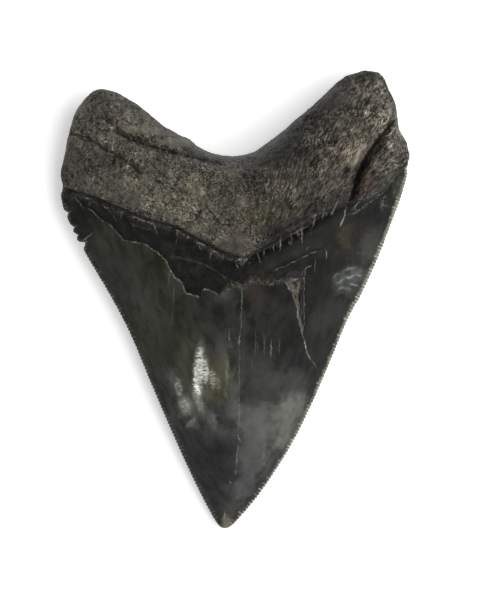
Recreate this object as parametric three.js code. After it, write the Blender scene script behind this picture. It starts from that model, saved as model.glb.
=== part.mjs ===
import * as THREE from "three";
import { ConvexHull } from "three/addons/math/ConvexHull.js";
import { ImprovedNoise } from "three/addons/math/ImprovedNoise.js";

// A fossil megalodon tooth that lies on its flat labial face. Millimetres, +X to the right and
// +Y from the tip to the root as seen from above, +Z up through the bulging lingual face.
// The tooth is one grown piece, so it is one solid: an outline, a lingual skin and a labial skin.

// heights of the outline above the surface that the tooth lies on
const tipEdgeHeight = 2.0;
const edgeRise = 0.052; // per millimetre from the tip towards the root
const edgeBow = 0.7; // the cutting edges sag and rise a little in side view

// the crown
const crestHeight = 12.2; // of the lingual face above the cutting edges
const crestRun = 34; // length over which the crest grows from the tip
const labialRun = 4.5; // half width over which the labial face comes down to the resting plane
const labialFlat = 1.05; // above 1 the middle of the labial face is cut off flat
const serrationPitch = 0.85;
const serrationDepth = 0.3;
const shoulderDepth = 0.2; // share of it that is left at the worn left shoulder
const behindTooth = 0.65; // a point this close behind each tooth's tip gives the tooth its thickness
const enamelLedge = 0.4; // the enamel stands above the bourlette
const rightLedge = 0.08; // and runs into it softly on the right
const ledgeWidth = 0.5;

// the root
const rootStep = 1.1; // over the bourlette
const rootBulge = 4.2;
const bulgeRun = 8;
const lobeDrop = 4.0; // the root gets thinner away from the crown
const rootRounding = 7.5;
const labialRounding = 5.5;
const archHollow = 1.7; // in the labial face, under the arch
const labialWear = 0.15; // the lumps of the labial face are worn down to the resting plane
const lineGroove = 0.7;
const rightGroove = 0.25; // the groove is shallow right of the middle

// spacing of the mesh points
const rootSpacing = 1.22;
const crownSpacing = 2.5;
const labialSpacing = 3.1;
const rootEdgeSpacing = 1.35;

// the outline, from the tip and counterclockwise
const rightEdge = [
  [-2.3, -55.9], [-1.3, -55.6], [1.1, -53.5], [5.3, -48.6], [9.3, -43.0], [14.6, -34.3],
  [18.9, -25.6], [22.8, -16.6], [26.3, -8.1], [28.6, -3.0], [30.7, 0.7], [34.9, 9.8],
  [38.2, 18.3], [40.8, 25.4], [42.2, 30.6], [42.1, 32.5],
];
const rightLobe = [
  [42.1, 32.5], [42.3, 33.8], [42.8, 35.4], [42.2, 36.8], [42.0, 38.4], [41.0, 40.3],
  [40.0, 41.8], [39.6, 44.6], [39.3, 47.1], [38.7, 49.0], [38.0, 50.4], [37.1, 52.7],
  [36.5, 54.1], [35.1, 55.2], [33.4, 55.8], [31.4, 55.8], [28.6, 55.1], [26.0, 54.0],
  [23.2, 51.4],
];
const arch = [
  [23.2, 51.4], [20.3, 48.4], [16.4, 45.3], [12.5, 41.9], [8.1, 38.4], [4.2, 35.9], [0.8, 35.1],
  [-4.6, 35.6], [-7.4, 36.6], [-10.9, 39.0], [-16.8, 42.2], [-22.6, 46.8], [-28.0, 50.2],
];
const leftLobe = [
  [-28.0, 50.2], [-31.2, 51.4], [-33.9, 51.0], [-36.1, 49.3], [-38.2, 46.8], [-40.0, 42.5],
  [-41.2, 37.1], [-42.0, 32.7], [-42.5, 29.9], [-41.9, 28.2], [-42.0, 27.0],
];
const leftEdge = [
  [-42.0, 27.0], [-42.4, 25.6], [-42.1, 23.6], [-41.6, 21.9], [-40.6, 21.2], [-40.9, 20.4],
  [-40.0, 18.3], [-39.2, 17.7], [-39.5, 17.0], [-39.1, 16.3], [-38.3, 15.8], [-38.6, 15.0],
  [-38.0, 14.2], [-36.5, 13.9], [-36.9, 12.5], [-36.0, 10.5], [-33.5, 6.2], [-30.4, 0.9],
  [-25.8, -7.9], [-20.3, -21.0], [-14.6, -34.2], [-9.1, -46.1], [-5.0, -53.7], [-3.4, -55.6],
  [-2.3, -55.9],
];

// lines on the lingual face, from left to right: where the root ends, and the ragged upper end of
// the enamel, with the bourlette between them
const rootLine = [
  [-43.5, 27.0], [-41.7, 27.2], [-33.9, 24.9], [-28.0, 22.4], [-20.9, 19.5], [-14.3, 17.8],
  [-9.2, 14.9], [-3.8, 12.0], [1.5, 9.8], [4.5, 11.2], [9.3, 13.7], [14.5, 16.6], [19.3, 19.5],
  [23.5, 22.2], [28.1, 23.7], [33.2, 24.7], [36.4, 26.8], [39.6, 30.3], [41.8, 32.4], [43.5, 33.0],
];
const enamelMargin = [
  [-43.5, 26.6], [-40.9, 26.4], [-39.2, 25.1], [-36.5, 22.2], [-34.3, 21.2], [-31.7, 19.0],
  [-29.2, 17.1], [-26.8, 14.4], [-22.1, 13.4], [-18.5, 11.2], [-16.3, 8.8], [-14.6, 5.4],
  [-12.4, 3.2], [-11.9, 1.5], [-8.2, 0.2], [-7.7, 2.7], [-4.6, 1.7], [-2.4, 2.7], [0.3, 3.9],
  [1.8, 3.4], [4.0, 5.1], [8.1, 4.4], [12.3, 4.9], [16.4, 10.2], [21.3, 12.2], [27.0, 18.3],
  [33.2, 23.0], [39.6, 29.6], [43.5, 32.4],
];
// and the end of the enamel on the labial face, which reaches closer to the arch
const labialLine = [
  [-43.5, 27.6], [-41.0, 27.6], [-30, 25.4], [-18, 22.6], [-6, 20.8], [3, 20.4], [14, 22.6],
  [26, 26.8], [36, 31.0], [41.8, 32.8], [43.5, 33.2],
];

// cuts in the root: the line that each follows, its depth and how wide it opens to each side
const furrows = [
  {
    path: [[-31.2, 43.7], [-27.3, 39.7], [-19.9, 36.8], [-11.2, 34.6], [-2.6, 32.9]],
    depth: 1.4,
    width: 0.9,
  },
  {
    path: [[-40.0, 40.4], [-35.5, 39.4], [-31.2, 36.2], [-26.8, 33.9], [-22.6, 30.7]],
    depth: 1.0,
    width: 0.75,
  },
  {
    path: [[38.4, 43.2], [36.8, 41.4], [33.8, 37.7], [31.2, 33.8], [29.4, 29.4], [28.4, 25.2]],
    depth: 3.2,
    width: 1.25,
  },
];
// rounded rises, pits and chips in the lingual face: place, radius and height
const lumps = [
  { x: 15.2, y: 3.0, radius: 2.0, height: -0.5 },
  { x: -6.0, y: 0.2, radius: 2.6, height: -0.25 },
  { x: 38.2, y: 35.0, radius: 5.5, height: 1.3 },
  { x: 26.7, y: 52.4, radius: 1.7, height: -1.5 },
  { x: -4.5, y: 26.0, radius: 9.0, height: 0.9 },
  { x: -33.5, y: 44.5, radius: 5.0, height: 0.8 },
  { x: 31.5, y: 45.0, radius: 6.0, height: 0.9 },
];

const noise = new ImprovedNoise();
const clamp01 = (value) => Math.min(Math.max(value, 0), 1);
const smooth = (from, to, value) => THREE.MathUtils.smoothstep(value, from, to);

function curveThrough(points) {
  const corners = points.map(([x, y]) => new THREE.Vector3(x, y, 0));
  return new THREE.CatmullRomCurve3(corners, false, "centripetal");
}

// Points at even steps along a curve, each with its inward direction, without the last one.
function stepsAlong(points, step) {
  const curve = curveThrough(points);
  const count = 2 * Math.round(curve.getLength() / step / 2);
  return Array.from({ length: count }, (_, i) => {
    const at = curve.getPointAt(i / count);
    const along = curve.getTangentAt(i / count);
    return { x: at.x, y: at.y, inX: -along.y, inY: along.x };
  });
}

// A cutting edge: teeth and notches take turns, and the wear differs from tooth to tooth.
function serrated(points) {
  return stepsAlong(points, serrationPitch / 2).map((p, i) => {
    const fresh = smooth(0, 4, p.y - tipY);
    const wear = 0.9 + 0.35 * noise.noise(p.x * 0.9, p.y * 0.9, 4.2);
    const left = p.x < 0 ? THREE.MathUtils.lerp(1, shoulderDepth, smooth(8, 14, p.y)) : 1;
    const cut = i % 2 ? serrationDepth * fresh * wear * left : 0;
    return { ...p, x: p.x + p.inX * cut, y: p.y + p.inY * cut, peak: i % 2 === 0, cutting: true };
  });
}

// An outer edge of the root: worn, with small bumps.
function weathered(points) {
  return stepsAlong(points, rootEdgeSpacing).map((p) => {
    const bump = 0.35 * noise.noise(p.x * 0.6, p.y * 0.6, 9.1);
    return { ...p, x: p.x + p.inX * bump, y: p.y + p.inY * bump, peak: true, cutting: false };
  });
}

const tipY = rightEdge[0][1];
const outline = [
  ...serrated(rightEdge),
  ...weathered(rightLobe),
  ...weathered(arch),
  ...weathered(leftLobe),
  ...serrated(leftEdge),
];

function distanceToSegment(x, y, ax, ay, bx, by) {
  const length2 = (bx - ax) ** 2 + (by - ay) ** 2;
  const t = clamp01(((x - ax) * (bx - ax) + (y - ay) * (by - ay)) / length2);
  return Math.hypot(x - ax - t * (bx - ax), y - ay - t * (by - ay));
}

// How deep a point lies inside the outline; negative outside.
function depthInside(x, y) {
  let nearest = Infinity;
  let isInside = false;
  outline.forEach((a, i) => {
    const b = outline[(i + 1) % outline.length];
    nearest = Math.min(nearest, distanceToSegment(x, y, a.x, a.y, b.x, b.y));
    const crosses = a.y > y !== b.y > y;
    if (crosses && x < a.x + ((y - a.y) * (b.x - a.x)) / (b.y - a.y)) isInside = !isInside;
  });
  return isInside ? nearest : -nearest;
}

// The second coordinate of a line at a given first one.
function valueOn(line, at) {
  const next = line.findIndex(([x]) => x > at);
  if (next === 0) return line[0][1];
  if (next < 0) return line[line.length - 1][1];
  const [x0, y0] = line[next - 1];
  const [x1, y1] = line[next];
  return THREE.MathUtils.lerp(y0, y1, (at - x0) / (x1 - x0));
}

const turned = (line) => line.map(([x, y]) => [y, x]);
const rightSide = turned(rightEdge);
const leftSide = turned(leftEdge).sort((a, b) => a[0] - b[0]);

const halfWidth = (y) => (valueOn(rightSide, y) - valueOn(leftSide, y)) / 2;

// How far a point lies from the middle of the crown, from 0 to 1 on either cutting edge.
function offMiddle(x, y) {
  const middle = (valueOn(rightSide, y) + valueOn(leftSide, y)) / 2;
  return clamp01(Math.abs(x - middle) / halfWidth(y));
}

const edgeHeight = (y) => {
  const fromTip = y - tipY;
  return tipEdgeHeight + edgeRise * fromTip + edgeBow * Math.sin((Math.PI * fromTip) / 55);
};
const roundedOff = (share) => Math.sqrt(1 - (1 - clamp01(share)) ** 2);

function furrowsAt(x, y) {
  return furrows.reduce((sum, { path, depth, width }) => {
    const last = path.length - 1;
    const spans = path.slice(1).map(([bx, by], i) => distanceToSegment(x, y, ...path[i], bx, by));
    const fromEnd = Math.min(Math.hypot(x - path[0][0], y - path[0][1]),
      Math.hypot(x - path[last][0], y - path[last][1]));
    const taper = 0.35 + 0.65 * smooth(0, 5, fromEnd);
    return sum + depth * taper * Math.exp(-((Math.min(...spans) / width) ** 2));
  }, 0);
}

function lumpsAt(x, y) {
  return lumps.reduce((sum, lump) => {
    const away = Math.hypot(x - lump.x, y - lump.y) / lump.radius;
    return sum + lump.height * Math.exp(-(away ** 2));
  }, 0);
}

// The grain of the root: broad swellings, finer bumps and fibres that run up to the right.
function grain(x, y) {
  const broad = 0.7 * noise.noise(x / 7, y / 7, 0.5);
  const fine = 0.7 * noise.noise(x / 2.6, y / 2.6, 3.7);
  const fibres = 0.5 * noise.noise((x - y) / 2.4, (x + y) / 11, 6.3);
  return broad + fine + fibres * smooth(0, 20, x);
}

function crownTop(x, y) {
  const crest = crestHeight * (1 - Math.exp(-(y - tipY) / crestRun));
  return edgeHeight(y) + crest * (1 - offMiddle(x, y) ** 2.15) ** 1.12;
}

function lingualHeight(x, y, depth) {
  const lineY = valueOn(rootLine, x);
  const aboveLine = (y - lineY) * 0.87;
  const aboveMargin = (y - valueOn(enamelMargin, x)) * 0.87;
  const drop = THREE.MathUtils.lerp(enamelLedge, rightLedge, smooth(10, 15, x));
  const ledge = drop * smooth(-ledgeWidth, 0, aboveMargin);
  const crown = crownTop(x, y) + lumpsAt(x, y) - ledge * smooth(0, 1.2, depth);
  const base = crownTop(x, Math.min(lineY, y));
  const bulge = rootBulge * (1 - Math.exp(-Math.max(aboveLine, 0) / bulgeRun));
  const thinning = lobeDrop * smooth(8, 30, aboveLine);
  const detail = lumpsAt(x, y) - furrowsAt(x, y) + grain(x, y);
  const full = base + rootStep + bulge - thinning - edgeHeight(y) + detail;
  const root = edgeHeight(y) + Math.max(full, 2) * roundedOff(depth / rootRounding);
  const cut = THREE.MathUtils.lerp(lineGroove, rightGroove, smooth(1, 9, x));
  const groove = cut * Math.exp(-((aboveLine / 0.6) ** 2)) * smooth(0, 3, depth);
  return THREE.MathUtils.lerp(crown, root, smooth(-0.2, 0.5, aboveLine)) - groove;
}

function labialHeight(x, y, depth) {
  const aboveLine = y - valueOn(labialLine, x);
  const edge = edgeHeight(y);
  const fall = labialFlat * (1 - Math.exp(-halfWidth(y) / labialRun));
  const crown = edge * (1 - fall * (1 - offMiddle(x, y) ** 2.2));
  const hollow = archHollow * Math.exp(-(((x - 0.8) / 14) ** 2) - ((y - 31) / 9) ** 2);
  const rough = (0.5 * grain(x + 50, y) - labialWear) * smooth(0, 3, depth);
  const root = edge * (1 - roundedOff(depth / labialRounding)) + hollow + rough;
  const step = 0.35 * Math.exp(-((aboveLine / 0.7) ** 2)) + 0.25 * smooth(0, 1, aboveLine);
  const height = THREE.MathUtils.lerp(crown, root, smooth(-2.5, 2.5, aboveLine));
  return Math.max(height + step * smooth(2, 5, depth), 0);
}

// Adds a point unless it would crowd the outline or a point that is already there.
function addPoint(points, x, y, gap) {
  if (points.some((p) => Math.hypot(p.x - x, p.y - y) < gap)) return;
  if (depthInside(x, y) > Math.min(gap, 0.8) * 0.55) points.push({ x, y });
}

// Rings of points just inside the outline, where the faces curve most.
function addRings(points, insets) {
  insets.forEach(({ cutting, inset, every }) => {
    const starts = outline.filter((p) => p.peak && p.cutting === cutting);
    starts.filter((_, i) => i % every === 0).forEach((p) => {
      addPoint(points, p.x + p.inX * inset, p.y + p.inY * inset, inset * 0.62);
    });
  });
}

// Rows of points beside a line, so that mesh edges follow it.
function addRows(points, line, offsets, step) {
  const starts = stepsAlong(line, step);
  offsets.forEach((offset) => {
    starts.forEach((p) => addPoint(points, p.x + p.inX * offset, p.y + p.inY * offset, 0.42));
  });
}

// An uneven triangular grid over the whole tooth; the spacing depends on the place.
function addGrid(points, spacingAt, finest) {
  const rowStep = finest * 0.87;
  const rows = Math.ceil(60 / rowStep);
  for (let row = -rows; row <= rows; row += 1) {
    for (let column = -rows; column <= rows; column += 1) {
      const shiftX = 0.45 * noise.noise(column * 0.73, row * 0.73, 1.1);
      const shiftY = 0.45 * noise.noise(column * 0.73, row * 0.73, 8.8);
      const x = (column + (row % 2) / 2 + shiftX) * finest;
      const y = row * rowStep + shiftY * finest;
      addPoint(points, x, y, spacingAt(x, y) * 0.72);
    }
  }
}

// The lower side of the convex hull of points on a paraboloid is their Delaunay triangulation.
function triangulate(points) {
  const raised = points.map(({ x, y }) => new THREE.Vector3(x, y, x * x + y * y));
  const indexOf = new Map(raised.map((point, i) => [point, i]));
  const hull = new ConvexHull().setFromPoints(raised);
  const lower = hull.faces.filter((face) => face.normal.z < 0);
  const triangles = lower.map((face) => [2, 1, 0].map((k) => indexOf.get(face.getEdge(k).head().point)));
  return triangles.filter((corners) => {
    const x = corners.reduce((sum, i) => sum + points[i].x, 0) / 3;
    const y = corners.reduce((sum, i) => sum + points[i].y, 0) / 3;
    return depthInside(x, y) > 0;
  });
}

function lingualPoints() {
  const points = outline.map(({ x, y }) => ({ x, y }));
  addRings(points, [
    { cutting: false, inset: 0.5, every: 1 },
    { cutting: true, inset: behindTooth, every: 1 },
    { cutting: false, inset: 1.7, every: 1 },
  ]);
  addRows(points, rootLine, [0.6, -0.1, -0.8, -1.8], 1.2);
  addRows(points, enamelMargin, [0.25, -0.35], 1.1);
  furrows.forEach(({ path, width }) => {
    addRows(points, path, [0, 0.8, -0.8, 1.7, -1.7].map((share) => share * width), 1.1);
  });
  addGrid(points, (x, y) => (y > valueOn(rootLine, x) ? rootSpacing : crownSpacing), rootSpacing);
  return points;
}

function labialPoints() {
  const points = outline.map(({ x, y }) => ({ x, y }));
  addRings(points, [
    { cutting: false, inset: 0.5, every: 1 },
    { cutting: true, inset: behindTooth, every: 1 },
    { cutting: false, inset: 1.9, every: 1 },
  ]);
  addRows(points, labialLine, [0.5, -0.4], 1.8);
  addGrid(points, () => labialSpacing, labialSpacing * 0.8);
  return points;
}

// Both skins share the outline's points, so together they close the solid.
function toothGeometry() {
  const lingual = lingualPoints();
  const labial = labialPoints();
  const rim = outline.length;
  const positions = outline.flatMap(({ x, y }) => [x, y, edgeHeight(y)]);
  lingual.slice(rim).forEach(({ x, y }) => {
    positions.push(x, y, lingualHeight(x, y, depthInside(x, y)));
  });
  labial.slice(rim).forEach(({ x, y }) => {
    positions.push(x, y, labialHeight(x, y, depthInside(x, y)));
  });
  const labialIndex = (i) => (i < rim ? i : i + lingual.length - rim);
  const faces = [
    ...triangulate(lingual).flat(),
    ...triangulate(labial).flatMap((corners) => corners.map(labialIndex).reverse()),
  ];
  const geometry = new THREE.BufferGeometry();
  geometry.setAttribute("position", new THREE.Float32BufferAttribute(positions, 3));
  geometry.setIndex(faces);
  geometry.computeBoundingBox();
  const middle = geometry.boundingBox.getCenter(new THREE.Vector3());
  geometry.translate(-middle.x, -middle.y, -geometry.boundingBox.min.z);
  geometry.computeVertexNormals();
  return geometry;
}

const fossil = new THREE.MeshStandardMaterial({ color: 0x33322f, roughness: 0.5, metalness: 0 });
const tooth = new THREE.Mesh(toothGeometry(), fossil);
tooth.name = "tooth";

const part = new THREE.Group();
part.add(tooth);

export default part;
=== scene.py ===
import bpy
import bmesh
import math
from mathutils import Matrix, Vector, noise
from mathutils.kdtree import KDTree


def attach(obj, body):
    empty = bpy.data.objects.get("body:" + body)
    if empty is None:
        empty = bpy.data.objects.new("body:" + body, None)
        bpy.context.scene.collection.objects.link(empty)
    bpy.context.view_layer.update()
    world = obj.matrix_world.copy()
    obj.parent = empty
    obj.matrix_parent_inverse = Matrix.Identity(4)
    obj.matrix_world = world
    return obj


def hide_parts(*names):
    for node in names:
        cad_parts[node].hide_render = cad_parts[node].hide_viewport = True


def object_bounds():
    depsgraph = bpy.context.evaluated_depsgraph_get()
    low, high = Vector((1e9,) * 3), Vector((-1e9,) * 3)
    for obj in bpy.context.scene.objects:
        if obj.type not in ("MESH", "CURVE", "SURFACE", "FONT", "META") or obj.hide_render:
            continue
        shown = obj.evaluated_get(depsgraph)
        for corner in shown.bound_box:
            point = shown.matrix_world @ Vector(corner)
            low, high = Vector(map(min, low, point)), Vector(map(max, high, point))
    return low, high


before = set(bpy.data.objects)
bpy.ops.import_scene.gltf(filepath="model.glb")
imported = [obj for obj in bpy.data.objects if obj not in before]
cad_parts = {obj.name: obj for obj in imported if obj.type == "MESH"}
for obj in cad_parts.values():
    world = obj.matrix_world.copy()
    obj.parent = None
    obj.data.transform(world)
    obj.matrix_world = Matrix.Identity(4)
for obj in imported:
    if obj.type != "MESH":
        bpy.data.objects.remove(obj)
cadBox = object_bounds()
mm = 0.001

# camera, colours and strengths of the light, and floor; lengths in millimetres
studio = {
    "frameHeight": 147.6,
    "focusPlane": 5.0,
    "lens": 250,
    "sensor": 36,
    "aim": (1.18, -0.63),
    "floorSize": 6000,
    "floorColour": (0.9, 0.9, 0.9),
    "floorRoughness": 0.9,
    "floorGlow": 0.45,
    "glowColour": (1, 0.995, 1),
    "roomColour": (0.97, 0.98, 1),
    "lampColour": (1, 0.985, 0.96),
    "zenithLight": 0.14,
    "leftLight": 0.24,
    "rightLight": 0.45,
}

# The key light is soft and comes from the right, and a dim lamp on the side of the crown's tip is
# what the enamel mirrors. Places in metres, powers in watts.
lamps = [
    {"place": (1.45, 0.0, 1.6), "size": 2.6, "power": 67, "mirrored": False},
    {"place": (0.75, -1.0, 1.45), "size": 0.9, "power": 2.8, "mirrored": True},
]

# the mesh of the tooth; lengths in millimetres
tooth = {
    "levels": 2,
    "mergeDistance": 0.001,
    "shortEdge": 0.7,
    "rimCrease": 0.8,
    "pointCrease": 0.85,
    "smoothing": 12,
    "smoothingFactor": 0.5,
    "grainSize": 0.8,
    "fibreSize": 0.68,
    "grainHeight": 0.33,
    "fibreLength": 3,
    "ridgeSize": (1.7, 6.5, 2.5),
    "pitSize": 1.3,
    "pitDepth": 0.34,
    "crackSize": (2.8, 2.2, 4),
    "crackDepth": 0.22,
    "grooveDepth": 0.28,
    "grooveWidth": 0.2,
    "hollowDepth": 0.42,
    "hollowWidth": 0.75,
    "hollowStarts": (3, 7),
    "hollowEnds": (24, 29),
    "lipBelow": 0.7,
    "lipHeight": 0.1,
    "lipWidth": 0.26,
    "lipEnds": (0, 5),
    "ledgeHeight": 0.2,
    "ledgeLip": 0.07,
    "ledgeEnds": (9, 14),
    "chipDepth": 0.12,
    "wedgeDepth": 0.22,
    "wedgeReach": 2.4,
    "waveHeight": 0.05,
    "labialGrain": 0.6,
    "labialMargin": 0.8,
    "raggedMargin": 0.16,
    "sharpRim": 0.25,
    "sharpRoot": 1.3,
}

# Lines and places below are in millimetres on a drawing of the tooth as seen from above. This is
# where the middle of the part lies on that drawing.
middle = (0.127, 0.018)
# The fibres of the root spread from a point. Two sets of them have the right width at these two
# distances from it, and one fades into the other between them.
fibreFocus = (0.0, -5.0)
fibreReach = (28.0, 52.0)
# between these two places from left to right the root changes from grains to fibres
grainToFibre = (-4.0, 18.0)

rootLine = [
    (-43.5, 27), (-41.7, 27.2), (-33.9, 24.9), (-28, 22.4), (-20.9, 19.5), (-14.3, 17.8),
    (-9.2, 14.9), (-3.8, 12), (1.5, 9.8), (4.5, 11.2), (9.3, 13.7), (14.5, 16.6), (19.3, 19.5),
    (23.5, 22.2), (28.1, 23.7), (33.2, 24.7), (36.4, 26.8), (39.6, 30.3), (41.8, 32.4), (43.5, 33),
]
enamelMargin = [
    (-43.5, 26.6), (-40.9, 26.4), (-39.2, 25.1), (-36.5, 22.2), (-35.2, 22.2), (-34.3, 21.2),
    (-31.7, 19), (-30.4, 18.6), (-29.2, 17.1), (-27.3, 14.7), (-26.8, 14.4), (-22.1, 13.4),
    (-18.5, 11.2), (-17.3, 10.2), (-16.3, 8.8), (-15.5, 6.9), (-14.6, 5.4), (-13.1, 4.6),
    (-12.4, 3.2), (-11.9, 1.5), (-10, 1), (-8.2, 0.2), (-7.7, 2.7), (-6.3, 2.7), (-4.6, 1.7),
    (-3.8, 1.2), (-2.4, 2.7), (-0.7, 3.9), (0.8, 3.9), (1.8, 3.4), (4, 5.1), (8.1, 4.4),
    (12.3, 4.9), (16.4, 10.2), (21.3, 12.2), (27, 18.3), (33.2, 23), (39.6, 29.6), (43.5, 32.4),
]
labialLine = [
    (-43.5, 27.6), (-41, 27.6), (-30, 25.4), (-18, 22.6), (-6, 20.8), (3, 20.4), (14, 22.6),
    (26, 26.8), (36, 31), (41.8, 32.8), (43.5, 33.2),
]

# narrow cuts in the bottoms of the root's two furrows and of its slash, with the dark colour along
# them: a dark stain and painted shade in the furrows
cuts = [
    {
        "path": [(-29, 40.9), (-25.6, 38.9), (-19.9, 37), (-11.2, 34.6), (-2.6, 32.9)],
        "depth": 0.55, "width": 0.42, "stainAndShadeWidth": 0.42, "share": 0.7,
    },
    {
        "path": [(-40, 40.4), (-35.5, 39.4), (-31.2, 36.2), (-26.8, 33.9), (-22.6, 30.7)],
        "depth": 0.42, "width": 0.3, "stainAndShadeWidth": 0.3, "share": 0.5,
    },
    {
        "path": [(38.4, 43.2), (37, 41.5), (34.9, 38.8), (32.4, 35.4), (30.3, 31.2), (29.1, 27),
                 (28.1, 23.6)],
        "depth": 0.9, "width": 0.8, "stainAndShadeWidth": 0.85, "share": 0.95,
        "stands": True,
    },
]

# lines along which flakes have come off, from left to right, and the wedge of bare dentine
chipLines = [
    [(-34.3, 25.1), (-32.6, 23.9), (-30.7, 22.4), (-29.7, 21), (-29.2, 19.8), (-28.7, 19.3)],
    [(-28, 22.2), (-26.8, 21), (-26, 19.5), (-24.6, 18.1)],
    [(-15.1, 10.7), (-11.2, 9.8), (-8.7, 8.5), (-6.5, 7.8), (-3.4, 6.3)],
    [(6.6, 5.9), (9.8, 7.1), (11, 7.8), (13, 9), (16.4, 10.2), (18.6, 11.5), (21.3, 12.2)],
]
wedge = [(14.3, 4.6), (15, 1.5), (15.4, -1.5), (15.5, -4.5)]
wedgeWidth = [2.1, 1.2, 0.7, 0.4]

# places where the root is worn smooth: x, y, half width, half height
smoothSpots = [
    (0.1, 13.6, 4.6, 3), (-23.9, 24.2, 2.4, 1.9), (24.5, 48.8, 3.2, 3), (28.9, 32.6, 1.3, 2),
    (30.2, 34.8, 1.3, 2), (-22, 41, 5, 1.3), (-14, 38.2, 4, 1.2),
]
# Broad painted light and shade over the whole tooth, with some tone of its own: painted shade
# on flanks, hollows and along the root line, painted highlights on parts that face the light, and
# painted reflections on the crown. x, y, half width, half height and turn in degrees, and what the
# colour is multiplied by.
lightAndTones = [
    # the root, from left to right
    (-39.2, 40, 3, 4.5, 0, 1.9), (-34.5, 44.5, 5, 4, 35, 1.25), (-30, 39.8, 7.5, 5.5, 0, 1.5),
    (-23, 44.6, 3.4, 2.2, -35, 0.75), (-18, 30, 24, 15, -18, 1.15), (-16, 23, 13, 8, -22, 1.5),
    (-15.5, 41, 3.5, 1.6, -30, 0.75), (-12.5, 39.3, 7.5, 2.8, -30, 0.45),
    (-5, 35, 7, 2.4, -10, 0.42), (4.5, 34.4, 9, 3, 10, 0.44), (12.5, 38.6, 6.5, 2.8, 42, 0.5),
    (13, 30.6, 5, 3.4, 20, 0.62), (16.5, 18.9, 14, 2.8, 28, 0.36), (19.8, 36.1, 4.5, 3.8, 20, 0.7),
    (20, 30.2, 3.5, 3, 0, 1.5), (24, 41, 3, 6, -35, 1.15), (24.9, 27.6, 3.5, 4, 0, 0.6),
    (27.9, 23.4, 2.6, 2, 0, 0.5), (28, 34, 2.8, 7, -32, 1.85), (30.8, 23.6, 2.2, 2, 0, 1.3),
    (35.4, 47, 4.8, 9.5, 10, 2.1), (36, 37, 5, 5.5, 0, 1.95), (36.7, 29.3, 4.5, 2.4, 35, 0.65),
    (39.2, 28.4, 2.6, 4, -20, 0.7),
    # the bourlette, from left to right
    (-33, 22.6, 6, 3, -20, 0.75), (-16.5, 12, 3, 2, -40, 1.4), (-11.6, 9, 6.5, 5.5, 0, 1.8),
    (-3.4, 2.6, 5, 3, 0, 1.8), (-3, 14.5, 3, 1.5, -20, 1.5), (9.6, 14.8, 6, 3, 25, 0.5),
    (16.7, 3.9, 6.5, 6, 0, 0.62), (34.2, 20.7, 3, 3, 0, 0.7),
    # the crown, from the top down
    (31, 9.3, 4.5, 5.5, -20, 1.5), (-24, 3.5, 4.5, 5.5, 0, 1.35), (28, 2.6, 4, 3, 0, 0.7),
    (29.5, 0.5, 2.5, 2.5, 0, 1.4), (25.8, -0.6, 3, 3.5, 0, 1.4), (-20.2, -3, 5, 9, 15, 1.35),
    (28.6, -4, 3.4, 6, -25, 1.6), (14.5, -9, 4.5, 7, 0, 0.75), (8.1, -11, 3, 9, 0, 0.62),
    (-8.8, -11, 4, 3, 0, 1.5), (-1.4, -13.5, 4, 7.5, 0, 1.9), (-12, -17.5, 3.2, 7.5, 0, 1.7),
    (-9.5, -23.4, 3, 2, 0, 1.4), (1.2, -23.4, 2, 3, 0, 1.4), (-9.2, -23.5, 3.6, 3, 0, 1.5),
    (0.8, -23.5, 2.8, 7, 0, 2), (11, -23.5, 3, 3, 0, 1.3), (5, -24, 2.4, 2.4, 0, 0.7),
    (15.3, -25, 4.6, 8.5, -28, 1.85), (-10.6, -25.6, 5.5, 5.5, 0, 2.3), (-3.1, -29, 7, 5.5, 0, 2),
    (-14.8, -29, 2.4, 4.5, 25, 1.4), (1.2, -32, 2, 3, 0, 1.5), (8, -34, 3.5, 4.5, 0, 1.3),
    (-8.5, -34, 4, 4, 0, 1.3), (9.8, -38.5, 3.6, 9.5, -28, 2.6), (-1, -46.8, 3.4, 8.5, 0, 1.4),
    (2.6, -48.6, 2.6, 4.5, -10, 1.4),
]


def smoothStep(low, high, value):
    share = min(max((value - low) / (high - low), 0.0), 1.0)
    return share * share * (3 - 2 * share)


def bell(distance, width):
    return math.exp(-((distance / width) ** 2))


# The second coordinate of a line at a given first one.
def heightOn(line, x):
    for (ax, ay), (bx, by) in zip(line, line[1:]):
        if x < bx:
            return ay + (by - ay) * (x - ax) / (bx - ax)
    return line[-1][1]


def pathGap(x, y, path):
    nearest = math.inf
    for (ax, ay), (bx, by) in zip(path, path[1:]):
        dx = bx - ax
        dy = by - ay
        share = min(max(((x - ax) * dx + (y - ay) * dy) / (dx * dx + dy * dy), 0.0), 1.0)
        nearest = min(nearest, math.hypot(x - ax - share * dx, y - ay - share * dy))
    return nearest


# Distance from a line that runs from left to right, positive above it; only exact near the line.
def signedGap(x, y, line):
    exactWithin = 9
    usualSlope = 0.8
    farthestPoint = 12
    rise = y - heightOn(line, x)
    if abs(rise) > exactWithin:
        return usualSlope * rise
    near = [(ax, ay) for ax, ay in line if abs(ax - x) < farthestPoint]
    gap = pathGap(x, y, near)
    return gap if rise > 0 else -gap


def onDrawing(co):
    return co.x / mm + middle[0], co.y / mm + middle[1]


def addObject(name, data):
    made = bpy.data.objects.new(name, data)
    bpy.context.scene.collection.objects.link(made)
    return made


def setCamera():
    data = bpy.data.cameras.new("camera")
    data.lens = studio["lens"]
    data.sensor_width = studio["sensor"]
    distance = studio["frameHeight"] * studio["lens"] / studio["sensor"] + studio["focusPlane"]
    camera = addObject("camera", data)
    camera.location = (studio["aim"][0] * mm, studio["aim"][1] * mm, distance * mm)
    data.clip_start = 0.01
    data.clip_end = 10
    bpy.context.scene.camera = camera


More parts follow.
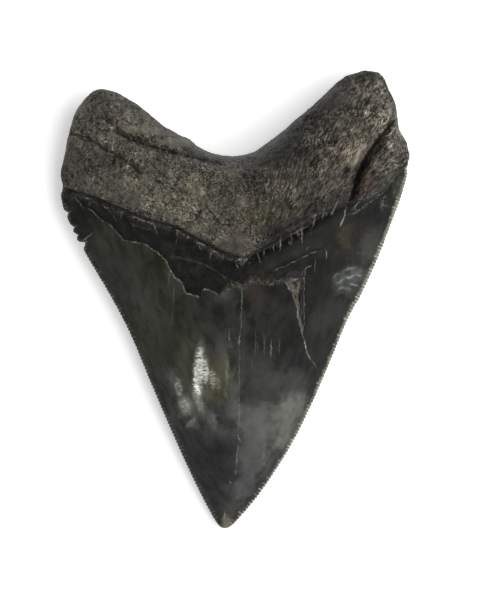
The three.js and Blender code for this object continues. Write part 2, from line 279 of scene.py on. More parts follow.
# The room is dark straight above, where the camera is, and brightest low down on the right.
def setLights():
    world = bpy.data.worlds.new("studio")
    world.use_nodes = True
    recipe = Recipe(world.node_tree)
    sky = recipe.split(recipe.node("TexCoord", {}).outputs["Generated"])
    side = recipe.ramp(sky[0], -0.9, 0.9, studio["leftLight"], studio["rightLight"])
    ring = recipe.ramp(sky[2], 1.0, 0.15)
    light = recipe.add(recipe.times(ring, side), studio["zenithLight"])
    background = world.node_tree.nodes["Background"]
    background.inputs["Color"].default_value = (*studio["roomColour"], 1)
    world.node_tree.links.new(light, background.inputs["Strength"])
    bpy.context.scene.world = world
    for setting in lamps:
        data = bpy.data.lights.new("softbox", "AREA")
        data.size = setting["size"]
        data.energy = setting["power"]
        data.color = studio["lampColour"]
        lamp = addObject("softbox", data)
        lamp.location = setting["place"]
        lamp.rotation_euler = (-Vector(setting["place"])).to_track_quat("-Z", "Y").to_euler()
        lamp.visible_glossy = setting["mirrored"]


def makeFloor():
    bm = bmesh.new()
    bmesh.ops.create_grid(bm, x_segments=1, y_segments=1, size=studio["floorSize"] / 2 * mm)
    mesh = bpy.data.meshes.new("floor")
    bm.to_mesh(mesh)
    bm.free()
    floor = addObject("floor", mesh)
    material = bpy.data.materials.new("floor")
    material.use_nodes = True
    shader = material.node_tree.nodes["Principled BSDF"]
    shader.inputs["Base Color"].default_value = (*studio["floorColour"], 1)
    shader.inputs["Roughness"].default_value = studio["floorRoughness"]
    shader.inputs["Emission Color"].default_value = (*studio["glowColour"], 1)
    shader.inputs["Emission Strength"].default_value = studio["floorGlow"]
    mesh.materials.append(material)


# Short ways to add nodes to a node tree; numbers and sockets can both be given as inputs.
class Recipe:
    def __init__(self, tree):
        self.tree = tree

    def node(self, kind, inputs, **settings):
        made = self.tree.nodes.new("ShaderNode" + kind)
        for name, value in settings.items():
            setattr(made, name, value)
        for key, value in inputs.items():
            if isinstance(value, bpy.types.NodeSocket):
                self.tree.links.new(value, made.inputs[key])
            else:
                made.inputs[key].default_value = value
        return made

    def maths(self, operation, first, second=0.0):
        return self.node("Math", {0: first, 1: second}, operation=operation).outputs[0]

    def add(self, first, second):
        return self.maths("ADD", first, second)

    def less(self, first, second):
        return self.maths("SUBTRACT", first, second)

    def times(self, first, *others):
        for other in others:
            first = self.maths("MULTIPLY", first, other)
        return first

    def most(self, first, *others):
        for other in others:
            first = self.maths("MAXIMUM", first, other)
        return first

    # from 0 to 1, or from start to end, as the value goes from low to high
    def ramp(self, value, low, high, start=0.0, end=1.0):
        inputs = {"Value": value, "From Min": low, "From Max": high, "To Min": start, "To Max": end}
        return self.node("MapRange", inputs, interpolation_type="SMOOTHSTEP").outputs[0]

    def blend(self, share, first, second, way="MIX"):
        inputs = {0: share}
        for key, colour in ((6, first), (7, second)):
            inputs[key] = (*colour, 1) if isinstance(colour, tuple) else colour
        return self.node("Mix", inputs, data_type="RGBA", blend_type=way).outputs[2]

    # darker, or lighter where the factors are above 1, with the contrast kept
    def shade(self, share, colour, factors):
        return self.blend(share, colour, factors, "MULTIPLY")

    def split(self, vector):
        return self.node("SeparateXYZ", {0: vector}).outputs

    def join(self, x, y, z=0.0):
        return self.node("CombineXYZ", {0: x, 1: y, 2: z}).outputs[0]

    def vectorMaths(self, operation, *inputs, output=0):
        made = self.node("VectorMath", dict(enumerate(inputs)), operation=operation)
        return made.outputs[output]

    def scaled(self, vector, x, y, z=1.0):
        return self.vectorMaths("MULTIPLY", vector, (x, y, z))

    def clouds(self, vector, scale, detail=2.0, roughness=0.5, distortion=0.0):
        inputs = {"Vector": vector, "Scale": scale, "Detail": detail,
                  "Roughness": roughness, "Distortion": distortion}
        return self.node("TexNoise", inputs).outputs[0]

    # a place moved at random, so that the borders and lines that are found from it aren't smooth
    def moved(self, vector, scale, amount):
        inputs = {"Vector": vector, "Scale": scale, "Detail": 2.0}
        colour = self.node("TexNoise", inputs).outputs["Color"]
        push = self.vectorMaths("SUBTRACT", colour, (0.5, 0.5, 0.5))
        return self.vectorMaths("MULTIPLY_ADD", push, (amount, amount, 0.0), vector)

    def chance(self, value):
        return self.node("TexWhiteNoise", {"W": value}, noise_dimensions="1D").outputs[0]

    def data(self, name, output="Fac"):
        return self.node("Attribute", {}, attribute_name=name).outputs[output]

    # 1 in the middle of an ellipse and 0 outside it
    def spot(self, place, x, y, wide, high, turn=0.0):
        cosine = math.cos(math.radians(turn))
        sine = math.sin(math.radians(turn))
        axes = [Vector((cosine / wide, sine / wide, 0)), Vector((-sine / high, cosine / high, 0))]
        centre = [axis.dot(Vector((x, y, 0))) for axis in axes]
        along = [self.vectorMaths("DOT_PRODUCT", place, axis, output="Value") for axis in axes]
        reach = self.vectorMaths("DISTANCE", self.join(*along), (*centre, 0), output="Value")
        return self.ramp(reach, 1.15, 0.3)

    # a straight line that gets thinner towards its ends
    def stroke(self, place, ax, ay, bx, by, wide):
        length = math.hypot(bx - ax, by - ay)
        turn = math.degrees(math.atan2(by - ay, bx - ax)) - 90
        return self.spot(place, (ax + bx) / 2, (ay + by) / 2, wide, length / 2, turn)

    # the most that any of the strokes gives at a place
    def strokes(self, place, rows, mask=0.0):
        for *line, share in rows:
            mask = self.most(mask, self.times(self.stroke(place, *line), share))
        return mask

    def patches(self, place, colour, spots, within=1.0):
        for at, paint, share in spots:
            share = self.times(self.spot(place, *at), share, within)
            colour = self.blend(share, colour, paint)
        return colour

    # Distance from a line through given points. The line goes steadily to the right, or
    # up or down where it stands; beyond its ends the distance grows.
    def lineGap(self, axes, path, standing=False):
        points = sorted([(b, a) for a, b in path] if standing else path)
        low, high = points[0][0], points[-1][0]
        least = min(b for a, b in points)
        span = max(b for a, b in points) - least + 0.01
        run, across = (axes[1], axes[0]) if standing else (axes[0], axes[1])
        share = self.maths("DIVIDE", self.less(run, low), high - low)
        bend = self.node("FloatCurve", {"Value": share})
        curve = bend.mapping.curves[0]
        for index, (a, b) in enumerate(points):
            at = ((a - low) / (high - low), (b - least) / span)
            if index in (0, len(points) - 1):
                curve.points[-1 if index else 0].location = at
            else:
                curve.points.new(*at)
        for point in curve.points:
            point.handle_type = "VECTOR"
        bend.mapping.update()
        line = self.add(self.times(bend.outputs[0], span), least)
        beyond = self.most(self.less(low, run), self.less(run, high), 0.0)
        return self.add(self.maths("ABSOLUTE", self.less(across, line)), beyond)


# Where the cutting edges and the outer edge of the root are: the points of the rim in order,
# starting at the tip and going up on the right.
def rimLoop(bm):
    rim = [edge for edge in bm.edges
           if (edge.link_faces[0].normal.z > 0) != (edge.link_faces[1].normal.z > 0)]
    ways = {}
    for edge in rim:
        for vert in edge.verts:
            ways.setdefault(vert, []).append(edge.other_vert(vert))
    start = min(ways, key=lambda vert: vert.co.y)
    loop = [start, max(ways[start], key=lambda vert: vert.co.x)]
    while loop[-1] != start:
        loop.append([vert for vert in ways[loop[-1]] if vert != loop[-2]][0])
    return rim, loop[:-1]


# How far away the rim is, and how many serrations its closest point is from the tip. The loop
# holds the middles between the rim's points, so it doesn't zigzag with the serrations.
def edgePlace(co, loop, finder):
    _, index, _ = finder.find(co)
    nearest = (math.inf, 0.0)
    for step in (index - 1, index):
        a = loop[step % len(loop)]
        b = loop[(step + 1) % len(loop)]
        along = b - a
        share = min(max((co - a).dot(along) / along.length_squared, 0.0), 1.0)
        nearest = min(nearest, ((co - a - along * share).length / mm, (step + share + 0.5) / 2))
    return nearest


def smoothness(x, y):
    worn = 0.0
    for cx, cy, wide, high in smoothSpots:
        reach = math.hypot((x - cx) / wide, (y - cy) / high)
        worn = max(worn, 1 - smoothStep(0.55, 1.15, reach))
    return worn


def noiseAt(place, size):
    return noise.noise(Vector([a / b for a, b in zip(place, size)]))


# Grains, fibres, pits and cracks of the root as a height in millimetres.
def rootGrain(x, y, z):
    dx = x - fibreFocus[0]
    dy = y - fibreFocus[1]
    size = tooth["grainSize"]
    turn = math.atan2(dx, dy)
    reach = math.hypot(dx, dy)
    grains = noise.fractal(Vector((x, y, z)) / size, 0.8, 2.0, 2)
    far = smoothStep(*fibreReach, reach)
    width = tooth["fibreSize"]
    fibres = 0.0
    for share, distance in zip((1 - far, far), fibreReach):
        across = turn * distance
        strand = Vector((across, reach / tooth["fibreLength"], z)) / width
        strand = noise.fractal(strand, 0.8, 2.0, 2)
        ridge = 0.45 - 2 * abs(noiseAt((across, reach, z), tooth["ridgeSize"]))
        fibres += share * (1.25 * strand + 0.7 * ridge)
    share = smoothStep(*grainToFibre, x)
    distances, points = noise.voronoi(Vector((x, y, z)) / tooth["pitSize"])
    pit = 1 - smoothStep(0.1, 0.4, distances[0])
    pit *= smoothStep(-0.1, 0.4, noise.noise(points[0] * 3.7)) * (1 - 0.7 * share)
    grains += share * (fibres - grains)
    crack = 1 - smoothStep(0.03, 0.12, abs(noiseAt((x, y, z), tooth["crackSize"])))
    crack *= smoothStep(0.0, 0.25, noise.noise(Vector((x, y, z)) / 4.5)) * (1 - share)
    uneven = 0.95 + 0.9 * noise.noise(Vector((x, y, z)) / 6.5)
    grains = tooth["grainHeight"] * grains - tooth["pitDepth"] * pit
    return uneven * grains - tooth["crackDepth"] * crack


# The broad painted light and shade, with the tooth's own tone, as a factor; clouds of three sizes
# of tone on the root.
def lightAndToneAt(x, y, z, onRoot):
    dx = 1.6 * noise.noise(Vector((x / 4, y / 4, 3.3)))
    dy = 1.6 * noise.noise(Vector((x / 4, y / 4, 8.3)))
    strength = 0.0
    for cx, cy, wide, high, turn, factor in lightAndTones:
        cosine = math.cos(math.radians(turn))
        sine = math.sin(math.radians(turn))
        right = x + dx - cx
        up = y + dy - cy
        reach = math.hypot((right * cosine + up * sine) / wide, (up * cosine - right * sine) / high)
        strength += math.log(factor) * (1 - smoothStep(0.2, 1.25, reach))
    if onRoot:
        place = Vector((x, y, z))
        rightward = smoothStep(-6, 14, x)
        strength += (0.12 + 0.68 * rightward) * noise.noise(place / 5.0)
        strength += (0.6 + 0.2 * rightward) * noise.noise(place / 1.9)
        strength += (0.6 - 0.3 * rightward) * noise.noise(place / 0.9)
    return math.exp(strength)


def cutsAt(x, y):
    deepest = 0.0
    for cut in cuts:
        gap = pathGap(x, y, cut["path"])
        if gap < 3 * cut["width"]:
            ragged = 0.8 + 0.4 * noise.noise(Vector((x / 2.5, y / 2.5, 5.5)))
            deepest = max(deepest, cut["depth"] * ragged * bell(gap, cut["width"]))
    return deepest


# Flakes that have come off the upper side of a line leave a small step.
def chipsAt(x, y):
    drop = 0.0
    for line in chipLines:
        if line[0][0] < x < line[-1][0]:
            gap = signedGap(x, y, line)
            ends = min(x - line[0][0], line[-1][0] - x)
            step = smoothStep(-0.15, 0.1, gap) * (1 - smoothStep(0.4, 2.5, gap))
            drop = max(drop, step * smoothStep(0, 1, ends))
    return drop


def wedgeAt(x, y):
    inside = 0.0
    for (px, py), half in zip(wedge, wedgeWidth):
        reach = math.hypot((x - px) / half, (y - py) / tooth["wedgeReach"])
        inside = max(inside, 1 - smoothStep(0.7, 1.0, reach))
    return inside


def lingualShape(x, y, z, rim, above, margin):
    worn = smoothness(x, y)
    rough = 1 - 0.8 * worn
    root = smoothStep(0.0, 0.5, above)
    grain = rootGrain(x, y, z) * rough * (0.45 + 0.55 * smoothStep(0, 1.0, rim))
    cut = cutsAt(x, y)
    broken = 0.5 + noise.noise(Vector((x / 1.4, y / 1.4, 2.2)))
    inside = smoothStep(0, 2, rim)
    leftward = 1 - smoothStep(*tooth["lipEnds"], x)
    groove = tooth["grooveDepth"] * bell(above, tooth["grooveWidth"])
    groove *= inside * (0.3 + 0.7 * leftward)
    hollow = smoothStep(*tooth["hollowStarts"], x) * (1 - smoothStep(*tooth["hollowEnds"], x))
    hollow *= 0.75 + noise.noise(Vector((x / 3, y / 3, 9.4)))
    fromLip = above + tooth["lipBelow"]
    groove += tooth["hollowDepth"] * hollow * bell(fromLip, tooth["hollowWidth"])
    lip = tooth["lipHeight"] * bell(fromLip, tooth["lipWidth"]) * broken * inside * leftward
    ledged = 1 - smoothStep(*tooth["ledgeEnds"], x)
    ledge = tooth["ledgeHeight"] * ledged * smoothStep(0, 1.5, rim)
    step = ledge * smoothStep(-0.12, 0.12, margin) * (1 - smoothStep(0.5, 3, margin))
    edge = tooth["ledgeLip"] * bell(margin + 0.25, 0.25) * ledged
    waves = noise.noise(Vector((x / 5.5, y / 9, 1.3)))
    waves += 0.35 * noise.noise(Vector((x / 1.3, y / 11, 4.1)))
    flakes = tooth["chipDepth"] * chipsAt(x, y) + tooth["wedgeDepth"] * wedgeAt(x, y)
    crown = tooth["waveHeight"] * waves * inside - step + edge * inside - flakes
    height = crown * (1 - root) + (grain - cut) * root - groove + lip
    return height, grain, worn


def labialShape(x, y, z, rim, above):
    root = smoothStep(-0.3, 0.5, above)
    grain = tooth["labialGrain"] * rootGrain(x, y, z) * (0.3 + 0.7 * smoothStep(0, 1.5, rim))
    inside = smoothStep(0, 2, rim)
    groove = 0.5 * tooth["grooveDepth"] * bell(above, tooth["grooveWidth"] * 1.5) * inside
    waves = noise.noise(Vector((x / 6, y / 10, 11.3)))
    height = tooth["waveHeight"] * waves * inside * (1 - root) + grain * root - groove
    return height, grain, 0.0


def toothPiece():
    bm = bmesh.new()
    bm.from_mesh(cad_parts["tooth"].data)
    bmesh.ops.remove_doubles(bm, verts=bm.verts, dist=tooth["mergeDistance"] * mm)
    bm.normal_update()
    crease = bm.edges.layers.float.new("crease_edge")
    point = bm.verts.layers.float.new("crease_vert")
    side = bm.verts.layers.float.new("side")
    rimEdges, loop = rimLoop(bm)
    rimPoints = [(a.co + b.co) / 2 for a, b in zip(loop, loop[1:] + loop[:1])]
    for edge in rimEdges:
        edge[crease] = tooth["rimCrease"]
    for vert in bm.verts:
        vert[side] = 1.0 if vert.normal.z > 0 else -1.0
    for index, vert in enumerate(loop):
        ahead = loop[(index + 1) % len(loop)]
        vert[side] = 0.0
        serrated = (ahead.co - vert.co).length < tooth["shortEdge"] * mm
        vert[point] = tooth["pointCrease"] if serrated else 0.0
    mesh = bpy.data.meshes.new("toothSurface")
    bm.to_mesh(mesh)
    bm.free()
    piece = addObject("toothSurface", mesh)
    fine = piece.modifiers.new("fine", "SUBSURF")
    fine.levels = fine.render_levels = tooth["levels"]
    bpy.context.view_layer.objects.active = piece
    with bpy.context.temp_override(object=piece, active_object=piece, selected_objects=[piece]):
        bpy.ops.object.modifier_apply(modifier=fine.name)
    print("tooth", len(mesh.vertices), "points")
    finder = KDTree(len(rimPoints))
    for index, co in enumerate(rimPoints):
        finder.insert(co, index)
    finder.balance()
    shapeSurface(mesh, rimPoints, finder)
    mesh.shade_smooth()
    mesh.materials.clear()
    mesh.materials.append(fossilMaterial())
    return piece


# Smooths the crown, adds the fine relief and stores what the material needs at each point.
def shapeSurface(mesh, rimPoints, finder):
    bm = bmesh.new()
    bm.from_mesh(mesh)
    side = bm.verts.layers.float["side"]
    places = []
    for vert in bm.verts:
        x, y = onDrawing(vert.co)
        rim, serration = edgePlace(vert.co, rimPoints, finder)
        lingual = vert[side] > 0
        above = signedGap(x, y, rootLine if lingual else labialLine)
        margin = above + tooth["labialMargin"]
        if lingual:
            ragged = tooth["raggedMargin"] * noise.noise(Vector((x, y, 0.7)))
            margin = signedGap(x, y, enamelMargin) + ragged
        places.append((x, y, rim, serration, lingual, above, margin))
    bm.verts.ensure_lookup_table()
    crown = [vert for vert, place in zip(bm.verts, places)
             if place[2] > tooth["sharpRim"] and place[5] < -tooth["sharpRoot"]]
    for _ in range(tooth["smoothing"]):
        bmesh.ops.smooth_vert(bm, verts=crown, factor=tooth["smoothingFactor"],
                              use_axis_x=True, use_axis_y=True, use_axis_z=True)
    bm.normal_update()
    print("tooth: smoothed", len(crown), "points")
    marks = {name: [] for name in ("above", "margin", "rim", "serration", "relief", "worn", "lightAndTone")}
    shifts = []
    for vert, (x, y, rim, serration, lingual, above, margin) in zip(bm.verts, places):
        if lingual:
            height, grain, worn = lingualShape(x, y, vert.co.z / mm, rim, above, margin)
        else:
            height, grain, worn = labialShape(x, y, vert.co.z / mm, rim, above)
        height *= smoothStep(0.0, 0.5, rim) if above < 0 else 1.0
        shifts.append(vert.normal * height * mm)
        # painted light and shade with tone, fading out on the labial side away from the rim
        seen = 1.0 if lingual else 1 - smoothStep(0, 6, rim)
        lightAndTone = lightAndToneAt(x, y, vert.co.z / mm, above > 0) ** seen
        for name, value in zip(marks, (above, margin, rim, serration, grain, worn, lightAndTone)):
            marks[name].append(value)
    low, high = (Vector(corner) for corner in cadBox)
    for vert, shift in zip(bm.verts, shifts):
        co = vert.co + shift
        vert.co = Vector([min(max(co[i], low[i]), high[i]) for i in range(3)])
    bm.to_mesh(mesh)
    bm.free()
    for name, values in marks.items():
        mesh.attributes.new(name, "FLOAT", "POINT").data.foreach_set("value", values)
    print("tooth: shaped,", len(mesh.polygons), "faces")


# Colours and roughness of the material. Where there are two, soft clouds of both are mixed.
fossil = {
    "root": ((0.068, 0.063, 0.048), (0.105, 0.096, 0.072)),
    "rightRoot": (0.022, 0.019, 0.014),
    "hollow": (0.009, 0.008, 0.006),
    "grain": (0.12, 0.109, 0.088),
    "fineGrain": (0.19, 0.174, 0.14),
    "pit": (0.008, 0.007, 0.0055),
    "speckAndGlint": (0.36, 0.335, 0.275),
    "crack": (0.01, 0.009, 0.007),
    "cut": (0.0065, 0.005, 0.004),
    "flankShade": (0.25, 0.24, 0.225),
    "neck": ((0.0035, 0.0035, 0.003), (0.013, 0.0125, 0.0115)),
    "rightNeck": ((0.006, 0.0065, 0.005), (0.013, 0.0135, 0.0105)),
    "shadedNeckBand": (0.0015, 0.0013, 0.001),
    "enamel": ((0.014, 0.014, 0.0092), (0.038, 0.039, 0.027)),
    "bluish": ((0.0125, 0.013, 0.0115), (0.033, 0.035, 0.033)),
    "rightEnamel": (0.004, 0.004, 0.0034),
    "grey": (0.08, 0.08, 0.07),
    "comb": (0.1, 0.1, 0.09),
    "reflectedArc": (0.3, 0.32, 0.3),
    "reflectionHalo": (0.058, 0.056, 0.037),
    "reflectedFeather": (0.3, 0.305, 0.25),
    "reflectionFleck": (0.84, 0.85, 0.76),
    "groove": (0.006, 0.005, 0.004),
    "ruin": (0.135, 0.115, 0.078),
    "wedge": (0.135, 0.124, 0.098),
    "lump": (0.42, 0.34, 0.32),
    "line": (0.36, 0.35, 0.305),
    "edge": (0.36, 0.355, 0.285),
    "tip": (0.24, 0.225, 0.16),
    "enamelRoughness": (0.22, 0.36),
    "neckRoughness": 0.32,
    "rootRoughness": 0.5,
    "lineRoughness": 0.6,
    "specular": 0.42,
}
# Patches of other colour: x, y, half width, half height and turn in degrees, then the colour,
# and how much of it there is. Some are painted light and shade, as marked.
rootPatches = [
    # the first two: a paler brown patch and strip left of the slash, with a painted highlight on the
    # slope and wall that face the light
    ((26, 33, 4, 8, -25), (0.085, 0.07, 0.052), 0.6),
    ((30.3, 35.2, 1.2, 5.4, -30), (0.15, 0.132, 0.108), 0.7),
    ((25.5, 28, 3.5, 3, 0), (0.06, 0.034, 0.026), 0.6),
    ((32.5, 29, 2, 4.5, -40), (0.06, 0.04, 0.032), 0.6),
    # the next two: painted shade on the right lobe's flank that faces the arch
    ((13, 38, 13, 3.8, 40), (0.014, 0.012, 0.01), 0.75),
    ((20, 44, 6, 2.6, 45), (0.02, 0.017, 0.015), 0.6),
    ((-10.9, 25.6, 3, 2, 0), (0.09, 0.064, 0.052), 0.5),
    ((33, 50.5, 3, 2.6, 0), (0.06, 0.042, 0.036), 0.5),
    # a painted highlight on the right lobe's outer rim, which faces the light
    ((37.8, 45.5, 1.6, 4.5, 8), (0.14, 0.132, 0.116), 0.6),
    ((-23.9, 24.2, 2.3, 1.8, 0), (0.052, 0.052, 0.044), 0.8),
    ((0.1, 13.2, 6.5, 3, 0), (0.056, 0.048, 0.038), 0.8),
    ((24.5, 48.8, 3, 3.2, -40), (0.03, 0.026, 0.024), 0.8),
    ((6, 22, 12, 6.5, 0), (0.046, 0.041, 0.026), 0.5),
    ((-20, 38, 12, 2, -20), (0.06, 0.057, 0.048), 0.6),
    # painted shade in the bottom of the upper furrow
    ((-12, 33, 9, 1.6, -15), (0.022, 0.02, 0.016), 0.5),
    ((-20, 30, 4, 3, 0), (0.06, 0.06, 0.036), 0.4),
]
# Where the root is darker or paler with its grains kept, with what each colour is multiplied
# by: painted shade on the arch flanks, at the bottom of the arch and along the root line, a painted
# highlight along the right lobe, and two tints of the root's own.
rootShadingAndTints = [
    ((9.5, 35.5, 15, 5, 38), (0.42, 0.4, 0.38), 0.9),
    ((20.5, 45.5, 8, 3.6, 47), (0.45, 0.44, 0.44), 0.9),
    ((24, 34.5, 13, 3.2, 32), (1.45, 1.42, 1.36), 0.8),
    ((-6, 35.5, 9, 2, -12), (0.5, 0.5, 0.48), 0.8),
    ((8, 20, 9, 5, 10), (0.75, 0.75, 0.6), 0.6),
    ((31.5, 27.5, 2, 4.5, -40), (0.8, 0.5, 0.42), 0.7),
    ((-38.5, 36, 3, 9, 10), (0.85, 0.9, 0.75), 0.6),
]
# thin dark cracks of the root: both ends, half width and how dark each one is
rootCracks = [
    (-37.2, 44, -34.4, 42.8, 0.28, 0.6), (-34.6, 42.9, -30.5, 39.3, 0.34, 0.9),
    (-32.4, 47.2, -30.2, 42.4, 0.3, 0.7), (-27.6, 46.8, -27, 44.4, 0.55, 0.8),
    (-22, 35.2, -16.9, 29.4, 0.3, 0.8), (-20.5, 31.6, -15.8, 25.9, 0.28, 0.7),
    (-36, 33.6, -31, 31.6, 0.28, 0.6), (-28.6, 31, -24.6, 26.4, 0.26, 0.6),
    (-7.3, 23.6, -3.4, 18, 0.32, 0.8), (-12.8, 27.4, -9.6, 23.2, 0.26, 0.6),
    (24, 27.8, 25.5, 23.8, 0.42, 0.8), (27, 24.6, 25.6, 21.4, 0.36, 0.7),
]
# patches of other colour on the enamel, in the same order; some are painted reflections, as marked
enamelPatches = [
    ((-27, 5, 9, 9, 20), (0.024, 0.025, 0.019), 0.5),
    ((-17.5, -10, 6, 10, 20), (0.032, 0.033, 0.024), 0.6),
    ((-30, 9.3, 2.5, 2, 0), (0.04, 0.044, 0.038), 0.5),
    ((-23.6, 1.2, 2.5, 3, 0), (0.036, 0.039, 0.034), 0.5),
    ((-38.2, 19.5, 5, 8.5, 25), (0.003, 0.003, 0.0024), 0.9),
    ((-10.9, -36.6, 5, 8, 22), (0.01, 0.01, 0.009), 0.6),
    ((-1.6, -39.5, 2.6, 8, 0), (0.018, 0.021, 0.024), 0.6),
    ((-3.6, -19.5, 3.2, 5.4, 0), (0.038, 0.038, 0.018), 0.7),
    ((-12, -15.1, 2.4, 6, 0), (0.042, 0.043, 0.028), 0.6),
    # painted reflection: a small bluish patch
    ((-15.2, -19.6, 2.6, 3.4, 30), (0.066, 0.076, 0.079), 0.75),
    ((-12.4, -26, 2, 3.2, -15), (0.062, 0.066, 0.056), 0.6),
    ((-9.9, -30.6, 1.8, 1, 35), (0.06, 0.06, 0.054), 0.7),
    ((-5.2, -27.8, 1.3, 3, 20), (0.056, 0.057, 0.056), 0.5),
    # the next six: painted reflection of a soft light, a broad pale haze low on the right of the
    # crown
    ((8.6, -30, 8.5, 6.5, -20), (0.094, 0.093, 0.083), 0.7),
    ((14, -26, 4.5, 5, -30), (0.088, 0.088, 0.078), 0.6),
    ((4.6, -36.5, 4.2, 6.4, -12), (0.08, 0.079, 0.072), 0.55),
    ((2.5, -43.5, 2.8, 6.6, -10), (0.058, 0.055, 0.057), 0.7),
    ((12.3, -19.7, 6, 4, 10), (0.046, 0.046, 0.042), 0.6),
    ((6, -17.6, 4.8, 6, 0), (0.034, 0.035, 0.032), 0.6),
    ((5, -25.6, 1.4, 1.6, 30), (0.024, 0.022, 0.022), 0.7),
    ((16, -32.5, 1.5, 4, -28), (0.034, 0.034, 0.028), 0.6),
    # painted reflection: a grey patch under the arcs
    ((28.1, 4.6, 5, 4, 20), (0.068, 0.075, 0.07), 0.8),
    ((21.3, -4.4, 3.5, 5, -20), (0.024, 0.024, 0.019), 0.6),
    ((26.9, 15, 2.4, 5, -12), (0.038, 0.031, 0.016), 0.65),
    ((33.5, 13.8, 3, 6.5, -25), (0.038, 0.038, 0.032), 0.7),
    ((29.8, 16.2, 0.9, 4.4, -27), (0.014, 0.009, 0.004), 0.85),
    ((20.8, 8.3, 4.5, 3.2, 20), (0.005, 0.005, 0.0045), 0.75),
    ((35.5, 22.7, 1.8, 1.6, 0), (0.034, 0.034, 0.03), 0.7),
    ((35.6, 22.7, 0.9, 0.9, 0), (0.13, 0.145, 0.135), 0.6),
    ((40.3, 27.5, 1.8, 5, -15), (0.055, 0.054, 0.04), 0.6),
    ((4.4, 1.6, 2.6, 2.4, 0), (0.034, 0.021, 0.014), 0.7),
    ((9.8, 2.2, 3.2, 1.1, 0), (0.008, 0.005, 0.004), 0.7),
    ((-2.8, 11.6, 2.6, 1.6, 0), (0.002, 0.002, 0.002), 0.8),
]
# Strokes: both ends, half width in the middle, and how pale each is. The first are cracks and
# scratches, then come the arcs near the right edge, a painted reflection of wavy light, and the
# feather left of the middle, a painted reflection of a small light broken into streaks.
hairs = [
    (-20.2, 20, -18.6, 16, 0.17, 0.38), (-14.2, 17.4, -13.7, 14.8, 0.16, 0.32),
    (-13.7, 15.2, -14.3, 13.2, 0.13, 0.16), (-8.6, 14.1, -8.3, 11.9, 0.16, 0.36),
    (-7.6, 13.6, -8, 11.4, 0.13, 0.2), (-5.2, 12.2, -6.1, 9.7, 0.16, 0.36),
    (-2.7, 11.5, -2.9, 9.4, 0.15, 0.26), (0.6, 9, 0.8, 7.3, 0.16, 0.32),
    (5.4, 11.5, 6.2, 9.4, 0.16, 0.38), (7.2, 12.5, 7, 10.4, 0.16, 0.38),
    (5.9, 9.9, 6.4, 8.9, 0.12, 0.2), (11.2, 15.5, 11, 11.6, 0.17, 0.44),
    (16.3, 18.5, 16.3, 13.4, 0.18, 0.46), (19.6, 21.3, 18.9, 17.2, 0.17, 0.42),
    (21.8, 22.2, 21.2, 19.2, 0.16, 0.38), (24.8, 23.4, 23.2, 20.2, 0.17, 0.42),
    (27.2, 22.6, 25.9, 18.3, 0.18, 0.4), (26.6, 20.2, 25.4, 17.6, 0.3, 0.5),
    (25.2, 24.4, 24, 22, 0.15, 0.34), (30.6, 24.4, 28.4, 21.6, 0.15, 0.3),
    (13.6, 16.6, 13.8, 13.8, 0.15, 0.32), (9.3, 13.6, 9.4, 11.4, 0.15, 0.3),
    (13.2, 15.6, 19.2, 18.4, 0.13, 0.2), (22.2, 12.6, 22.4, 9.8, 0.14, 0.3),
    (19.6, 10.2, 19.4, 6.3, 0.13, 0.2), (18, 13, 17.3, 11.8, 0.12, 0.2),
    (-15.8, 7, -16, 3.1, 0.14, 0.2), (-14.6, 4.4, -14.9, -1.7, 0.14, 0.24),
    (-14.9, -1.7, -15.4, -6, 0.13, 0.14), (1.8, 3.6, 1.8, -3.2, 0.15, 0.36),
    (1.8, -2, 1.4, -8.6, 0.13, 0.26), (1.3, -7.6, 1.1, -11.4, 0.15, 0.38),
    (1.2, -10, 1.1, -24, 0.13, 0.22), (1.1, -22, 0.9, -34, 0.13, 0.3),
    (0.4, -32.4, 1.7, -34.6, 0.2, 0.45), (0.9, -34.2, 0.4, -41.2, 0.13, 0.4),
    (0.2, -41.4, 0.1, -42.6, 0.18, 0.45), (-1.1, -44, -1.1, -44.8, 0.18, 0.4),
    (5.1, -6.6, 5.1, -14.2, 0.12, 0.14), (7.2, -8, 7.2, -14.2, 0.12, 0.16),
    (8.8, -9.4, 8.8, -14, 0.14, 0.34), (10.8, -9, 10.8, -13.6, 0.12, 0.14),
    (-1.2, -5.9, -1.2, -9.3, 0.12, 0.16), (-1.3, -8.3, -1.2, -10.1, 0.2, 0.34),
    (-1.9, -16.6, -1.9, -19.2, 0.13, 0.22), (16.9, -9.4, 17.4, -12.4, 0.17, 0.62),
    (17.2, -11.8, 18.6, -14.8, 0.15, 0.42), (18.4, -14.2, 20.4, -17, 0.12, 0.2),
    (-37.7, 14.2, -34, 16.5, 0.16, 0.42), (17.3, 7.9, 18.6, 8.4, 0.18, 0.42),
    (-2.6, -54, -2.3, -51.4, 0.25, 0.45), (11.9, 4.9, 13.8, 2.1, 0.17, 0.34),
    (13.8, 2.3, 15.2, -1.7, 0.16, 0.34), (15.1, -1.5, 15.5, -5.2, 0.2, 0.42),
    (15.5, -4.8, 16.6, -9.6, 0.14, 0.3), (13.6, 4.8, 15.8, 5.3, 0.16, 0.34),
]
reflectedArcs = [
    (24.4, 3.6, 27, 5.3, 0.45, 0.6), (26.4, 5, 29.6, 6, 0.45, 0.68),
    (29, 5.9, 31.6, 6.1, 0.45, 0.52), (27.6, 4.2, 30.4, 3.3, 0.55, 0.82),
    (24.8, 2.4, 27.2, 3.2, 0.5, 0.55), (26, 7, 30, 8.2, 0.6, 0.48),
    (30, 3.3, 31.8, 2, 0.5, 0.52), (26.4, 3.4, 28.8, 2.2, 0.55, 0.5),
    (23.6, 5, 25.6, 6.8, 0.45, 0.42),
]
